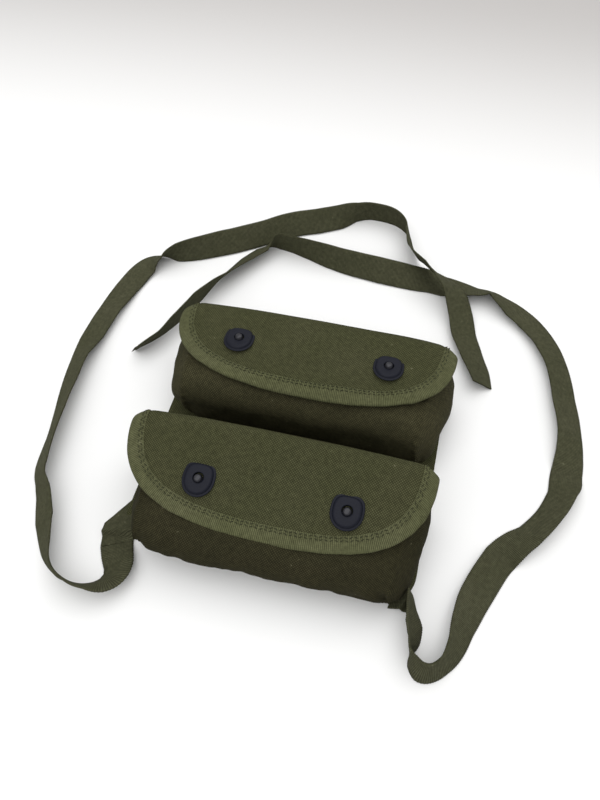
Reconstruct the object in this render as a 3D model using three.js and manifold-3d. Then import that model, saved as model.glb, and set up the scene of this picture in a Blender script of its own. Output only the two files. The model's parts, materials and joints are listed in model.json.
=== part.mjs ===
// Two-pocket canvas pouch, lying on its back: +Z up off its back, +Y towards its top edge and belt hook,
// +X across it. The origin is the middle of the box of the pouch itself, on the surface that it lies on.
// Millimetres. Every piece of cloth is a thin closed solid, sewn edges meet with a small gap.
import * as THREE from "three";
import { mergeVertices } from "three/addons/utils/BufferGeometryUtils.js";
import Module from "manifold-3d";

// Cloth and clearances
const CANVAS = 1.2; // thickness of the cotton duck
const BINDING = 2.5; // canvas edge with the binding tape folded round it
const BINDING_WIDTH = 9.5;
const GAP = 0.3; // between two pieces that touch
const PLY_GAP = 1.0; // room between pocket front and flap for the clinch plates

// Back panel
const PANEL_HALF_WIDTH = 88;
const PANEL_TOP = 67.8;
const PANEL_BOTTOM = -78;
const PANEL_CORNER = 20;

// Pockets: where the flap folds over the mouth, how the front slopes, how long it is before it turns under,
// how far the flap reaches down the front and where its two fasteners sit
const POCKETS = {
  lower: {
    foldY: -21.8,
    foldZ: 51.4,
    slope: 13,
    frontLength: 50,
    bend: 15,
    tuck: 14,
    flapReach: 53,
    fastenerAt: 29.5,
    fastenersX: [-40, 43],
  },
  upper: {
    foldY: 65.6,
    foldZ: 44.4,
    slope: -7,
    frontLength: 41,
    bend: 16,
    tuck: 10,
    flapReach: 50,
    fastenerAt: 23,
    fastenersX: [-45, 48],
  },
};
const SIDE_HALF_WIDTH = 86.5; // pocket at its mouth, on the back panel
const SIDE_LEAN = 0.18; // the gussets lean in towards the front
const SIDE_TAPER = 0.12; // and towards the pocket bottom
const MOUTH_SET_BACK = 2; // pocket mouth behind the flap's fold
const SEAM_HEIGHT = 1.9; // pocket bottom seam above the table

// Flaps
const FLAP_HALF_WIDTH = 88;
const FLAP_ROUNDNESS = 2.7; // exponent of the flap's outline, 2 would be an ellipse
const FOLD_CLEARANCE = 1.9; // each side of the flap's fold line
const FLAP_SEAM_Z = 1.2; // axis of the flap's seam, on the face of the back panel

// Snap fasteners
const HEAD_RADIUS = 2.7;
const HOLE_RADIUS = 4.3;
const SHANK_RADIUS = 1.5;
const CAP_RISE = 1.5;

// Belt hook and its loop
const WIRE_RADIUS = 1.1;
const HOOK_HALF_WIDTH = 27;
const HOOK_FOOT = 8;
const LOOP_HALF_WIDTH = 21;
const LOOP_BORE = 1.45;
const LOOP_HEIGHT = 4;
const LOOP_LENGTH = 6.6;

// Tie tapes
const TAPE_WIDTH = 19;
const TAPE_THICKNESS = 1;
const TAPE_STEPS = 78;
const TAPE_REST = 0.6; // height of the tape's middle when it lies flat
const TIE_END_HEIGHT = 1.2;

const wasm = await Module();
wasm.setup();

const radians = THREE.MathUtils.degToRad;

// Materials, one per finish
const material = (color, roughness, metalness = 0) =>
  new THREE.MeshStandardMaterial({ color, roughness, metalness });
const canvas = () => material(0x46452c, 0.95);
const pocketCanvas = () => material(0x35301d, 0.95);
const webbing = () => material(0x5a5b3e, 0.9);
const tieTape = () => material(0x3e3f2a, 0.9);
const blackened = () => material(0x1c1d2a, 0.45, 0.6);
const wire = () => material(0x2b2c2c, 0.5, 0.8);

// A closed three.js geometry as a manifold solid, and back.
function solidOf(geometry) {
  const bare = geometry.clone();
  bare.deleteAttribute("normal");
  bare.deleteAttribute("uv");
  const merged = mergeVertices(bare, 1e-4);
  return new wasm.Manifold(
    new wasm.Mesh({
      numProp: 3,
      vertProperties: merged.attributes.position.array,
      triVerts: new Uint32Array(merged.index.array),
    }),
  );
}

function geometryOf(solid) {
  const mesh = solid.getMesh();
  const geometry = new THREE.BufferGeometry();
  geometry.setAttribute("position", new THREE.BufferAttribute(mesh.vertProperties, 3));
  geometry.setIndex(new THREE.BufferAttribute(mesh.triVerts, 1));
  return geometry;
}

const model = new THREE.Group();

function add(name, geometry, finish) {
  const mesh = new THREE.Mesh(geometry, finish);
  mesh.name = name;
  model.add(mesh);
  return mesh;
}

// A side view outline (y, z), drawn out along X from one x to the other.
function alongX(points, from, to) {
  const geometry = new THREE.ExtrudeGeometry(new THREE.Shape(points), {
    depth: to - from,
    bevelEnabled: false,
  });
  const axes = new THREE.Matrix4().makeBasis(
    new THREE.Vector3(0, 1, 0),
    new THREE.Vector3(0, 0, 1),
    new THREE.Vector3(1, 0, 0),
  );
  return geometry.applyMatrix4(axes).translate(from, 0, 0);
}

// A plan view outline (x, y), drawn out along Z.
function alongZ(shape, from, to) {
  return new THREE.ExtrudeGeometry(shape, { depth: to - from, bevelEnabled: false, curveSegments: 12 })
    .translate(0, 0, from);
}

// A point of a pocket's front, at a length along it from the flap's fold and a height off its outer face.
// The front runs straight, turns round the bottom edge and goes down to the back panel.
function frontPoint(pocket, length, off) {
  const slope = radians(pocket.slope);
  const along = new THREE.Vector2(-Math.cos(slope), -Math.sin(slope));
  const out = new THREE.Vector2(-Math.sin(slope), Math.cos(slope));
  const start = new THREE.Vector2(pocket.foldY, pocket.foldZ).addScaledVector(out, -PLY_GAP - CANVAS / 2);
  if (length <= pocket.frontLength) {
    return start.addScaledVector(along, length).addScaledVector(out, off);
  }
  const turn = Math.min((length - pocket.frontLength) / pocket.bend, bendAngle(pocket));
  const rest = length - pocket.frontLength - turn * pocket.bend;
  const centre = start.addScaledVector(along, pocket.frontLength).addScaledVector(out, -pocket.bend);
  const outNow = out.clone().multiplyScalar(Math.cos(turn)).addScaledVector(along, Math.sin(turn));
  const alongNow = along.clone().multiplyScalar(Math.cos(turn)).addScaledVector(out, -Math.sin(turn));
  return centre.addScaledVector(outNow, pocket.bend + off).addScaledVector(alongNow, rest);
}

function bendAngle(pocket) {
  return radians(90 - pocket.slope + pocket.tuck);
}

// The length along the front at which the pocket's bottom meets the back panel.
function frontEnd(pocket) {
  const turned = pocket.frontLength + pocket.bend * bendAngle(pocket);
  const drop = frontPoint(pocket, turned, 0).y - SEAM_HEIGHT;
  return turned + drop / Math.cos(radians(pocket.tuck));
}

// The lengths at which a strip of the front needs a corner: its ends and the steps of the bend.
function stations(pocket, from, to) {
  const steps = 8;
  const list = [from];
  for (let i = 0; i <= steps; i++) {
    const length = pocket.frontLength + (pocket.bend * bendAngle(pocket) * i) / steps;
    if (length > from + 1e-6 && length < to - 1e-6) list.push(length);
  }
  list.push(to);
  return list;
}

// The side outline of a layer of cloth on the front, between two heights off the pocket's face.
function layer(pocket, from, to, low, high) {
  const lengths = stations(pocket, from, to);
  const outer = lengths.map((length) => frontPoint(pocket, length, high));
  const inner = lengths.map((length) => frontPoint(pocket, length, low)).reverse();
  return outer.concat(inner).reverse();
}

// Half the pocket's width at a place: the face that the gusset's inside lies on.
function halfWidthAt(pocket, y, z) {
  return SIDE_HALF_WIDTH - SIDE_LEAN * z + SIDE_TAPER * (y - pocket.foldY + MOUTH_SET_BACK);
}

// A block whose two sides are the insides of a pocket's gussets.
function betweenGussets(pocket) {
  const block = new THREE.BoxGeometry(2, 160, 120).translate(0, pocket.foldY - 60, 40);
  const position = block.attributes.position;
  for (let i = 0; i < position.count; i++) {
    const half = halfWidthAt(pocket, position.getY(i), position.getZ(i));
    position.setX(i, Math.sign(position.getX(i)) * half);
  }
  return solidOf(block);
}

// A round cutter through the front of a pocket, at one fastener.
function fastenerCutter(pocket, x, radius) {
  const at = frontPoint(pocket, pocket.fastenerAt, 0);
  return solidOf(
    new THREE.CylinderGeometry(radius, radius, 20, 20)
      .rotateX(Math.PI / 2 + radians(pocket.slope))
      .translate(x, at.x, at.y),
  );
}

// Places a piece that was made on the local XY plane on the pocket's front, its +Z facing out.
function onFront(mesh, pocket, x) {
  const at = frontPoint(pocket, pocket.fastenerAt, 0);
  mesh.position.set(x, at.x, at.y);
  mesh.rotation.x = radians(pocket.slope);
}

// The flap's outline in plan, moved in from its edge, and closed beyond the fold.
function flapOutline(pocket, inset) {
  const steps = 40;
  const points = [];
  for (let i = 0; i <= steps; i++) {
    const angle = (Math.PI * i) / steps;
    const cos = Math.cos(angle);
    const sin = Math.sin(angle);
    const power = 2 / FLAP_ROUNDNESS;
    const x = FLAP_HALF_WIDTH * Math.sign(cos) * Math.abs(cos) ** power;
    const y = -pocket.flapReach * sin ** power;
    const across = (Math.abs(x) / FLAP_HALF_WIDTH) ** (FLAP_ROUNDNESS - 1) / FLAP_HALF_WIDTH;
    const down = (Math.abs(y) / pocket.flapReach) ** (FLAP_ROUNDNESS - 1) / pocket.flapReach;
    const normal = new THREE.Vector2(Math.sign(cos) * across, -down).normalize();
    points.push(new THREE.Vector2(x, y + pocket.foldY).addScaledVector(normal, -inset));
  }
  const beyond = pocket.foldY + 8;
  const side = FLAP_HALF_WIDTH - inset;
  points.unshift(new THREE.Vector2(side, beyond));
  points.push(new THREE.Vector2(-side, beyond));
  return solidOf(alongZ(new THREE.Shape(points.reverse()), -5, 90));
}

// Back panel: one flat piece with rounded lower corners.
function backPanel() {
  const shape = new THREE.Shape();
  shape.moveTo(-PANEL_HALF_WIDTH, PANEL_TOP);
  shape.lineTo(-PANEL_HALF_WIDTH, PANEL_BOTTOM + PANEL_CORNER);
  const cornerX = PANEL_HALF_WIDTH - PANEL_CORNER;
  const cornerY = PANEL_BOTTOM + PANEL_CORNER;
  shape.absarc(-cornerX, cornerY, PANEL_CORNER, Math.PI, 1.5 * Math.PI);
  shape.lineTo(cornerX, PANEL_BOTTOM);
  shape.absarc(cornerX, cornerY, PANEL_CORNER, -0.5 * Math.PI, 0);
  shape.lineTo(PANEL_HALF_WIDTH, PANEL_TOP);
  shape.closePath();
  add("back_panel", alongZ(shape, 0, CANVAS), canvas());
}

// Pocket front: front and bottom in one piece, bent round the bottom edge, with a hole for each stud.
function pocketFront(name, pocket) {
  const strip = layer(pocket, MOUTH_SET_BACK, frontEnd(pocket), -CANVAS, 0);
  let cloth = solidOf(alongX(strip, -100, 100)).intersect(betweenGussets(pocket));
  for (const x of pocket.fastenersX) {
    cloth = cloth.subtract(fastenerCutter(pocket, x, SHANK_RADIUS + GAP));
  }
  add(name + "_pocket_front", geometryOf(cloth), pocketCanvas());
}

// Gusset: a side of the pocket, cut to the front's profile, leaning in to the front and the bottom.
function gusset(name, pocket, side) {
  const lengths = stations(pocket, MOUTH_SET_BACK, frontEnd(pocket));
  const edge = lengths.map((length) => frontPoint(pocket, length, 0));
  edge.push(new THREE.Vector2(pocket.foldY - MOUTH_SET_BACK, CANVAS + GAP));
  const sheet = alongX(edge.reverse(), 0, CANVAS);
  const position = sheet.attributes.position;
  for (let i = 0; i < position.count; i++) {
    const half = halfWidthAt(pocket, position.getY(i), position.getZ(i)) + GAP;
    const out = side > 0 ? position.getX(i) : position.getX(i) - CANVAS;
    position.setX(i, side * half + out);
  }
  add(name + "_gusset_" + (side > 0 ? "right" : "left"), sheet, pocketCanvas());
}

// Flap: the top covers the mouth and stands on its seam, the front folds over the pocket front.
function flap(name, pocket) {
  const topFrom = FLAP_SEAM_Z + 1.2;
  const topTo = pocket.foldZ - FOLD_CLEARANCE;
  const height = topTo - topFrom;
  const middle = (topTo + topFrom) / 2;
  const canvasHalf = FLAP_HALF_WIDTH - BINDING_WIDTH - GAP;
  add(
    name + "_flap_top",
    new THREE.BoxGeometry(2 * canvasHalf, CANVAS, height).translate(0, pocket.foldY, middle),
    canvas(),
  );
  for (const side of [-1, 1]) {
    const x = side * (FLAP_HALF_WIDTH - BINDING_WIDTH / 2);
    add(
      name + "_flap_top_binding_" + (side > 0 ? "right" : "left"),
      new THREE.BoxGeometry(BINDING_WIDTH, BINDING, height).translate(x, pocket.foldY, middle),
      webbing(),
    );
  }
  const reach = pocket.frontLength + 22;
  const canvasLayer = layer(pocket, FOLD_CLEARANCE, reach, PLY_GAP, PLY_GAP + CANVAS);
  let cloth = solidOf(alongX(canvasLayer, -100, 100)).intersect(flapOutline(pocket, BINDING_WIDTH + GAP));
  for (const x of pocket.fastenersX) {
    cloth = cloth.subtract(fastenerCutter(pocket, x, HOLE_RADIUS));
  }
  add(name + "_flap_front", geometryOf(cloth), canvas());
  const low = PLY_GAP + (CANVAS - BINDING) / 2;
  const edgeLayer = layer(pocket, FOLD_CLEARANCE, reach, low, low + BINDING);
  const edge = solidOf(alongX(edgeLayer, -100, 100))
    .intersect(flapOutline(pocket, 0))
    .subtract(flapOutline(pocket, BINDING_WIDTH));
  add(name + "_flap_binding", geometryOf(edge), webbing());
}

// The outline of a fastener's plate: round at the fold side, drawn in towards the flap's edge.
function shield(width, length) {
  const shape = new THREE.Shape();
  const half = width / 2;
  const top = length / 2;
  shape.moveTo(-half, top * 0.15);
  shape.bezierCurveTo(-half, top * 0.95, -half * 0.45, top, 0, top);
  shape.bezierCurveTo(half * 0.45, top, half, top * 0.95, half, top * 0.15);
  shape.bezierCurveTo(half, -top * 0.55, half * 0.5, -top, 0, -top);
  shape.bezierCurveTo(-half * 0.5, -top, -half, -top * 0.55, -half, top * 0.15);
  return shape;
}

function plate(width, length, holeRadius, from, to) {
  const shape = shield(width, length);
  shape.holes.push(new THREE.Path().absarc(0, 0, holeRadius, 0, 2 * Math.PI));
  const curveSegments = 6;
  return new THREE.ExtrudeGeometry(shape, { depth: to - from, bevelEnabled: false, curveSegments })
    .translate(0, 0, from);
}

// Stud and washer on the pocket front, socket cap and clinch plate on the flap.
function fastener(name, pocket, side) {
  const hand = side > 0 ? "right" : "left";
  const x = pocket.fastenersX[side > 0 ? 1 : 0];
  const washerTop = -CANVAS - GAP;
  const washerBottom = washerTop - 0.6;
  const base = GAP;
  const crown = PLY_GAP + CANVAS + GAP + CAP_RISE + 2.2;
  const profile = [
    [0, washerBottom - 0.3], [SHANK_RADIUS, washerBottom - 0.3], [SHANK_RADIUS, base], [3.4, base],
    [3.4, base + 0.5], [2, base + 0.8], [2, crown - 3], [HEAD_RADIUS, crown - 2.2],
    [HEAD_RADIUS, crown - 1.4], [HEAD_RADIUS * 0.75, crown - 0.4], [HEAD_RADIUS * 0.35, crown - 0.05],
    [0, crown],
  ].map(([r, z]) => new THREE.Vector2(r, z));
  const stud = new THREE.LatheGeometry(profile, 20).rotateX(Math.PI / 2);
  onFront(add(name + "_stud_" + hand, stud, blackened()), pocket, x);
  const ring = [
    [SHANK_RADIUS + GAP, washerBottom], [5.5, washerBottom], [5.5, washerTop],
    [SHANK_RADIUS + GAP, washerTop], [SHANK_RADIUS + GAP, washerBottom],
  ].map(([r, z]) => new THREE.Vector2(r, z));
  const washer = new THREE.LatheGeometry(ring, 20).rotateX(Math.PI / 2);
  onFront(add(name + "_stud_washer_" + hand, washer, blackened()), pocket, x);
  const clinch = plate(15, 16.5, HOLE_RADIUS, PLY_GAP - GAP - 0.35, PLY_GAP - GAP);
  onFront(add(name + "_clinch_plate_" + hand, clinch, blackened()), pocket, x);
  const capFrom = PLY_GAP + CANVAS + GAP;
  const flange = solidOf(plate(18.5, 20, HOLE_RADIUS, capFrom, capFrom + 0.6));
  const shell = solidOf(plate(15, 16.5, HOLE_RADIUS, capFrom + 0.3, capFrom + 0.6 + CAP_RISE));
  onFront(add(name + "_socket_cap_" + hand, geometryOf(flange.add(shell)), blackened()), pocket, x);
}

// Belt hook: bent wire, its crossbar turning in a webbing loop sewn to the panel's top edge.
function beltHook() {
  const loopFrom = PANEL_TOP + GAP;
  const axisY = loopFrom + LOOP_LENGTH - LOOP_HEIGHT / 2;
  const outline = new THREE.Shape();
  outline.moveTo(loopFrom, 0);
  outline.lineTo(axisY, 0);
  outline.absarc(axisY, LOOP_HEIGHT / 2, LOOP_HEIGHT / 2, -0.5 * Math.PI, 0.5 * Math.PI);
  outline.lineTo(loopFrom, LOOP_HEIGHT * 0.6);
  outline.closePath();
  outline.holes.push(new THREE.Path().absarc(axisY, LOOP_HEIGHT / 2, LOOP_BORE, 0, 2 * Math.PI));
  const loop = new THREE.ExtrudeGeometry(outline, {
    depth: 2 * LOOP_HALF_WIDTH,
    bevelEnabled: false,
    curveSegments: 8,
  });
  const axes = new THREE.Matrix4().makeBasis(
    new THREE.Vector3(0, 1, 0),
    new THREE.Vector3(0, 0, 1),
    new THREE.Vector3(1, 0, 0),
  );
  add("hanger_loop", loop.applyMatrix4(axes).translate(-LOOP_HALF_WIDTH, 0, 0), webbing());

  const lower = POCKETS.lower;
  const bottom = Math.min(...stations(lower, 0, frontEnd(lower)).map((s) => frontPoint(lower, s, 0).x));
  const footY = -bottom - WIRE_RADIUS;
  const z = LOOP_HEIGHT / 2;
  const corner = 3;
  const path = new THREE.CurvePath();
  const at = (x, y) => new THREE.Vector3(x, y, z);
  const foot = HOOK_HALF_WIDTH + HOOK_FOOT;
  path.add(new THREE.LineCurve3(at(-foot, footY), at(-HOOK_HALF_WIDTH - corner, footY)));
  path.add(
    new THREE.QuadraticBezierCurve3(
      at(-HOOK_HALF_WIDTH - corner, footY), at(-HOOK_HALF_WIDTH, footY), at(-HOOK_HALF_WIDTH, footY - corner),
    ),
  );
  path.add(new THREE.LineCurve3(at(-HOOK_HALF_WIDTH, footY - corner), at(-HOOK_HALF_WIDTH, axisY + corner)));
  path.add(
    new THREE.QuadraticBezierCurve3(
      at(-HOOK_HALF_WIDTH, axisY + corner), at(-HOOK_HALF_WIDTH, axisY), at(-HOOK_HALF_WIDTH + corner, axisY),
    ),
  );
  path.add(new THREE.LineCurve3(at(-HOOK_HALF_WIDTH + corner, axisY), at(HOOK_HALF_WIDTH - corner, axisY)));
  path.add(
    new THREE.QuadraticBezierCurve3(
      at(HOOK_HALF_WIDTH - corner, axisY), at(HOOK_HALF_WIDTH, axisY), at(HOOK_HALF_WIDTH, axisY + corner),
    ),
  );
  path.add(new THREE.LineCurve3(at(HOOK_HALF_WIDTH, axisY + corner), at(HOOK_HALF_WIDTH, footY - corner)));
  path.add(
    new THREE.QuadraticBezierCurve3(
      at(HOOK_HALF_WIDTH, footY - corner), at(HOOK_HALF_WIDTH, footY), at(HOOK_HALF_WIDTH + corner, footY),
    ),
  );
  path.add(new THREE.LineCurve3(at(HOOK_HALF_WIDTH + corner, footY), at(foot, footY)));
  const section = new THREE.Shape(
    Array.from({ length: 10 }, (_, i) => {
      const angle = (2 * Math.PI * i) / 10;
      return new THREE.Vector2(WIRE_RADIUS * Math.cos(angle), WIRE_RADIUS * Math.sin(angle));
    }),
  );
  const bent = new THREE.ExtrudeGeometry(section, { steps: 72, bevelEnabled: false, extrudePath: path });
  add("wire_hanger", bent, wire());
}

// The sewn ends of the ties, against the panel's lower corners: folded back at the left only.
function leftTieEnd() {
  const shape = new THREE.Shape();
  const x = PANEL_CORNER - PANEL_HALF_WIDTH;
  const y = PANEL_BOTTOM + PANEL_CORNER;
  shape.moveTo(x - PANEL_CORNER - 2 * GAP, y + 8);
  shape.absarc(x, y, PANEL_CORNER + 2 * GAP, Math.PI, radians(240));
  shape.lineTo(-95.2, -84.2);
  shape.lineTo(-98.5, -70);
  shape.closePath();
  add("tie_end_left", alongZ(shape, 0, TIE_END_HEIGHT), tieTape());
}

function rightTieEnd() {
  const shape = new THREE.Shape();
  const x = PANEL_HALF_WIDTH - PANEL_CORNER;
  const y = PANEL_BOTTOM + PANEL_CORNER;
  shape.absarc(x, y, PANEL_CORNER + 2 * GAP, radians(285), radians(330));
  shape.lineTo(86.8, -72);
  shape.lineTo(89, -79);
  shape.lineTo(76, -81);
  shape.closePath();
  add("tie_end_right", alongZ(shape, 0, TIE_END_HEIGHT), tieTape());
}

// Routes of the two ties from their sewn ends: x, y, lean and lift. Lean is how far the tape's left edge,
// as it runs, is turned up from lying flat, in degrees; lift is how far it is held off the table.
const LEFT_TIE = [
  [-86.5, -80.5, 0, 0], [-83.5, -86.5, 6, 0], [-79.5, -93.5, 20, 0], [-79, -101, 33, 0], [-83, -107, 45, 0],
  [-90, -110, 64, 0], [-98, -111, 74, 0], [-107, -109, 84, 0], [-114, -105, 98, 0], [-122, -96, 118, 0],
  [-132, -78, 136, 0], [-139, -64, 130, 0], [-145, -55, 122, 0], [-149, -45, 128, 0], [-152, -24, 123, 0],
  [-155, -4, 128, 0], [-158, 16, 138, 0], [-160, 37, 143, 0], [-160, 58, 162, 0], [-158, 84, 164, 0],
  [-153, 114, 176, 0], [-147, 131, 172, 0], [-138, 139, 138, 0], [-126, 143.5, 92, 0], [-112, 152, 68, 0],
  [-90, 167, 48, 0], [-70, 180, 50, 0], [-50, 195, 47, 0], [-31, 204, 47, 0], [-15, 211, 62, 0],
  [-3, 218, 90, 0], [8, 222, 97, 0], [22, 221, 97, 0], [31.5, 217, 100, 0], [38.5, 209, 104, 0],
  [41.5, 199.5, 110, 0], [45.5, 188, 120, 1], [51.5, 177, 120, 6], [60, 168, 120, 8], [71, 159.5, 138, 9],
  [81, 151, 157, 9], [88, 138, 165, 4], [93, 122, 163, 0], [100, 105, 157, 0], [106, 92, 151, 0],
  [110, 80, 140, 0],
];
const RIGHT_TIE = [
  [85.8, -71, 104, 0], [87.2, -78.5, 112, 0], [90, -87, 123, 0],
  [91, -95, 114, 0], [90, -102, 97, 0], [92, -107, 82, 0],
  [97, -111, 73, 0], [103, -110, 72, 0], [109, -104, 68, 0], [114, -93, 55, 0], [117, -78, 37, 0],
  [122, -61, 18, 0], [132, -38, 8, 0], [140, -27, -18, 0], [149, -18, -38, 0], [158, -4, -42, 0],
  [165, 12, -40, 0], [168, 26, -5, 0], [169, 42, 18, 0], [168, 58, 26, 0], [164, 80, 25, 0],
  [158, 107, 23, 0], [149, 128, 20, 0], [137, 143, 14, 0], [125, 152, 18, 0], [115, 158, 32, 0],
  [107, 162, 44, 0], [97, 162, 32, 0], [86, 164, 15, 0], [73, 166, 0, 0], [62, 166.5, -14, 0],
  [50, 165.5, -24, 0], [28, 164.5, -44, 0], [-4, 165.5, -64, 0], [-29, 169.5, -84, 0], [-44, 172, -96, 0],
  [-54, 173, -98, 0], [-60, 171, -118, 0], [-66, 164.5, -142, 0], [-74, 153, -141, 0], [-83, 136, -129, 0],
  [-91, 119, -112, 0], [-99, 101, -100, 0], [-107, 80, -105, 0], [-114, 66, -117, 0], [-124, 53, -123, 0],
];

// A tie: a straight length of flat tape, laid along its route.
function tie(name, route) {
  const lean = (i) => radians(route[i][2]);
  const points = route.map(([x, y, , lift]) => new THREE.Vector3(x, y, lift));
  const curve = new THREE.CatmullRomCurve3(points, false, "centripetal");
  const half = TAPE_WIDTH / 2;
  const thick = TAPE_THICKNESS / 2;
  const section = [
    [half, -thick / 2], [half, thick / 2], [half - 0.5, thick], [half / 2, thick * 1.06],
    [0, thick * 1.09], [-half / 2, thick * 1.06], [0.5 - half, thick], [-half, thick / 2],
    [-half, -thick / 2], [0.5 - half, -thick], [-half / 2, -thick * 1.06], [0, -thick * 1.09],
    [half / 2, -thick * 1.06], [half - 0.5, -thick],
  ].map(([x, y]) => new THREE.Vector2(x, y));
  const tape = new THREE.ExtrudeGeometry(new THREE.Shape(section), {
    depth: 1,
    steps: TAPE_STEPS,
    bevelEnabled: false,
  });
  const position = tape.attributes.position;
  for (let i = 0; i < position.count; i++) {
    const share = THREE.MathUtils.clamp(position.getZ(i), 0, 1);
    const at = curve.getPoint(share);
    const run = curve.getTangent(share);
    const left = new THREE.Vector3(-run.y, run.x, 0).normalize();
    const knot = Math.min(Math.floor(share * (route.length - 1)), route.length - 2);
    const between = share * (route.length - 1) - knot;
    const angle = THREE.MathUtils.lerp(lean(knot), lean(knot + 1), between);
    const across = left.clone().multiplyScalar(Math.cos(angle)).setZ(Math.sin(angle));
    at.z = TAPE_REST + (TAPE_WIDTH / 2) * Math.abs(Math.sin(angle)) + Math.max(0, at.z);
    const face = new THREE.Vector3().crossVectors(run, across).normalize();
    at.addScaledVector(across, position.getX(i)).addScaledVector(face, position.getY(i));
    position.setXYZ(i, at.x, at.y, at.z);
  }
  add(name, tape, tieTape());
}

backPanel();
for (const [name, pocket] of Object.entries(POCKETS)) {
  pocketFront(name, pocket);
  flap(name, pocket);
  for (const side of [-1, 1]) {
    gusset(name, pocket, side);
    fastener(name, pocket, side);
  }
}
beltHook();
leftTieEnd();
rightTieEnd();
tie("tie_left", LEFT_TIE);
tie("tie_right", RIGHT_TIE);

export default model;
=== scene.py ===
"""Two-pocket canvas pouch with snap fasteners, bound flaps, a belt hook and two long tie tapes.

Metres, +Z up off the back panel, +Y towards the belt hook. The sections follow the making: cut the
panel, bag the pockets, fold and bind the flaps, set the fasteners, sew on the ties, then light it.
"""

import json
import math

import bmesh
import bpy
from mathutils import Matrix, Vector, noise


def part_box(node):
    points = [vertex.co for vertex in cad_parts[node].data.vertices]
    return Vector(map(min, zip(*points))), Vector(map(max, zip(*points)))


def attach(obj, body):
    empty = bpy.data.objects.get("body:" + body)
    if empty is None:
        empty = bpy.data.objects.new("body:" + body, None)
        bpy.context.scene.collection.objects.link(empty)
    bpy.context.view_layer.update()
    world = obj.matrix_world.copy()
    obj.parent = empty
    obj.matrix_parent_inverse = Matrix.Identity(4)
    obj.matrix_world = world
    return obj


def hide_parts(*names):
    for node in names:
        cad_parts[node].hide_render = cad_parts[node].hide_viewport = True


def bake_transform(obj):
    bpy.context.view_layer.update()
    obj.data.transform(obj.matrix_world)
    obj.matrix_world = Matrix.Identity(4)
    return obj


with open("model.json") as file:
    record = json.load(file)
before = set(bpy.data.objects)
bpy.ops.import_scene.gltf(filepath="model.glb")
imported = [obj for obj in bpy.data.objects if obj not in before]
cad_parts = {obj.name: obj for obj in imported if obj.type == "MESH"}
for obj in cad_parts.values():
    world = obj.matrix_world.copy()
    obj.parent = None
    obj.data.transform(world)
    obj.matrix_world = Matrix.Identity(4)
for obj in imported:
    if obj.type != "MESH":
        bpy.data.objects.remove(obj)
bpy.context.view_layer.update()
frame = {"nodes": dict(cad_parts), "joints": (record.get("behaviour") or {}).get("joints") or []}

MM = 0.001

# ---------------------------------------------------------------------------------------------------
# Back panel. One sheet of olive cotton duck that everything else is sewn to, cut with round lower
# corners. The cloth's weave is drawn on a map in metres, so that every piece has the same threads.

CANVAS = 1.2 * MM
WEAVE_PITCH = 1.1 * MM
# At this scale a wave texture has one band to a unit
BAND_SCALE = 0.314
PATCH_SCALE = 26
SLUB_SCALE = 420
MOST_FADED = 0.5
CLOTH_RELIEF = 0.6
LINT = (0.20, 0.19, 0.13, 1)


def nodes_for(name):
    """A new material with an empty principled shader, and short ways to add and join its nodes."""
    material = bpy.data.materials.new(name)
    material.use_nodes = True
    tree = material.node_tree
    shader = tree.nodes["Principled BSDF"]

    def add(kind, **settings):
        node = tree.nodes.new(kind)
        for key, value in settings.items():
            if key in node.inputs:
                node.inputs[key].default_value = value
            else:
                setattr(node, key, value)
        return node

    def join(out, into):
        tree.links.new(out, into)

    return material, shader, add, join


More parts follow.
